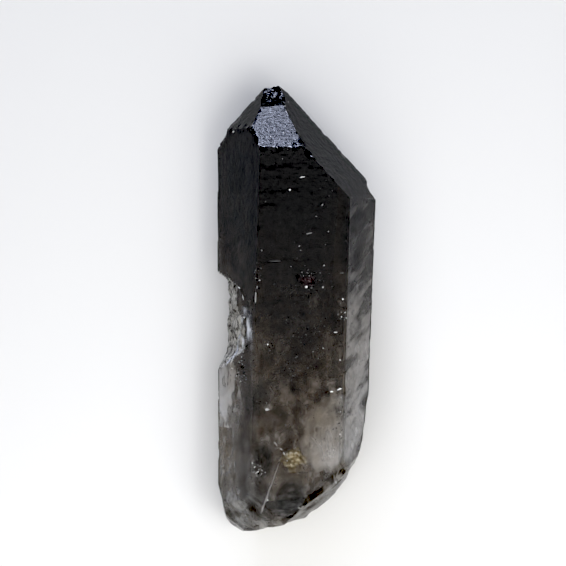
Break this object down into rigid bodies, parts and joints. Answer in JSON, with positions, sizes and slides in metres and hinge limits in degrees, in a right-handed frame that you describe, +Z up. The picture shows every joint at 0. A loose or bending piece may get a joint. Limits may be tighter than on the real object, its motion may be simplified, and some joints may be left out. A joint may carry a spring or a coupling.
{
  "type": "smoky quartz crystal",
  "caption": "Natural smoky quartz point lying on a prism face: flat-faced prism with a chipped point, near-black at the tip, clearing to pale grey-brown at the broken base.",
  "frame": {"origin": "middle of the bounding box, at the bottom, on the surface that the crystal lies on", "axes": "+Y along the crystal's long axis towards its point, +Z up, square to the prism face it lies on and out of the one on top, +X to the right when it is seen from above with the point away"},
  "size_m": [0.027, 0.0762, 0.0191],
  "materials": {
    "smoky_quartz": "glassy natural faces, see-through and smoke-dark towards the point, clouded and paler towards the base; rough where chipped, scarred and broken"
  },
  "bodies": {
    "root": {"crystal": "smoky_quartz"}
  },
  "joints": []
}
